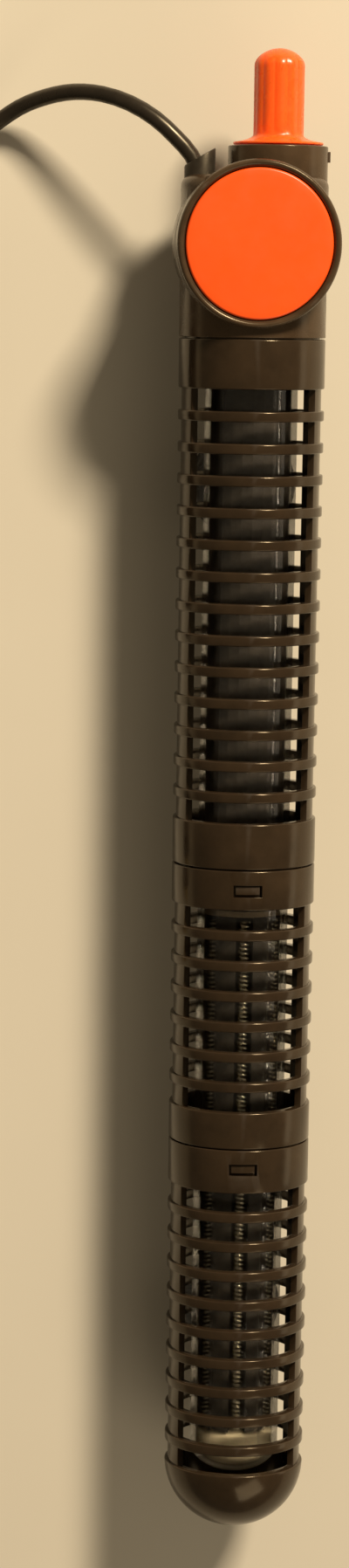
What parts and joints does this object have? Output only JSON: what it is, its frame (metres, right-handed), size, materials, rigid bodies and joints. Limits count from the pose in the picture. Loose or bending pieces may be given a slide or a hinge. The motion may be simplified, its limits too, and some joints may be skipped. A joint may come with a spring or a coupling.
{
  "type": "submersible aquarium heater",
  "caption": "Submersible aquarium heater: ribbed black guard over a glass element tube, with an orange-faced control head, a fluted temperature knob, suction cups and a mains lead.",
  "frame": {"origin": "centre of the heater's bounding box in plan, on the surface that its suction cups rest on", "axes": "+Y along the heater towards its knob, +Z away from the surface through the face of the disc, +X to the side that the knob is offset to"},
  "size_m": [0.125, 0.3574, 0.0459],
  "materials": {
    "black_abs": "moulded black ABS, satin gloss with fine scuffs",
    "orange_abs": "moulded bright orange ABS, glossy",
    "quartz_glass": "clear quartz glass, polished",
    "dark_ceramic": "dark fired ceramic",
    "black_rubber": "black rubber, matt",
    "ceramic": "unglazed cream ceramic",
    "heating_wire": "oxidised nickel-chromium resistance wire",
    "silica_pad": "pressed white silica wool",
    "liner_sleeve": "dark fibreglass sleeve",
    "mica_board": "brown mica sheet",
    "bimetal": "rolled bimetal",
    "steel": "plated steel",
    "brass": "bright brass",
    "lamp_glass": "clear lamp glass with an orange glow tint",
    "wire_sleeve": "woven glass-fibre wire sleeve",
    "cord_pvc": "black flexible PVC, glossy",
    "cup_silicone": "dark translucent silicone"
  },
  "bodies": {
    "heater": {"head_housing": "black_abs", "cover_bezel": "black_abs", "cover_disc": "orange_abs", "cover_seal": "black_rubber", "cord_gland": "black_rubber", "shaft_bush": "steel", "shaft_seal": "black_rubber", "glass_tube": "quartz_glass", "tube_stopper": "black_rubber", "clamp_collar": "black_abs", "tube_liner": "liner_sleeve", "thermostat_base": "mica_board", "contact_block": "ceramic", "contact_magnet": "steel", "bimetal_strip": "bimetal", "contact_rivet": "brass", "contact_spring": "brass", "arm_pin": "steel", "suppressor": "mica_board", "indicator_lamp": "lamp_glass", "lamp_resistor": "ceramic", "ceramic_former": "dark_ceramic", "former_rod": "steel", "former_disc": "mica_board", "bottom_pad": "silica_pad", "heating_coil_1": "heating_wire", "heating_coil_2": "heating_wire", "heating_coil_3": "heating_wire", "heating_coil_4": "heating_wire", "heating_coil_5": "heating_wire", "heating_coil_6": "heating_wire", "live_wire": "wire_sleeve", "neutral_wire": "wire_sleeve", "feed_wire": "wire_sleeve", "power_cord": "cord_pvc", "cord_tail": "cord_pvc", "cord_hank": "cord_pvc", "hank_tie": "black_rubber", "plug_body": "cord_pvc", "plug_blade_1": "brass", "plug_blade_2": "brass"},
    "knob": {"temperature_knob": "orange_abs", "knob_shaft": "brass", "shaft_clip": "steel", "adjusting_tip": "brass"},
    "arm": {"set_arm": "steel"},
    "guard": {"guard_upper": "black_abs", "guard_middle": "black_abs", "guard_lower": "black_abs", "suction_cup_upper": "cup_silicone", "suction_cup_lower": "cup_silicone"}
  },
  "joints": [
    {"name": "knob_turn", "type": "hinge", "parent": "heater", "child": "knob", "pos_m": [0.0053, 0.1565, 0.026], "axis": [0, 1, 0], "range_deg": [-135, 135]},
    {"name": "arm_lift", "type": "hinge", "parent": "heater", "child": "arm", "pos_m": [-0.0055, 0.0842, 0.026], "axis": [0, 0, 1], "range_deg": [-1.62, 1.62]},
    {"name": "guard_slide", "type": "slide", "parent": "heater", "child": "guard", "axis": [0, -1, 0], "range_m": [0, 0.28]}
  ],
  "couplings": [
    {"joint": "arm_lift", "follows": "knob_turn", "ratio": 0.012}
  ]
}
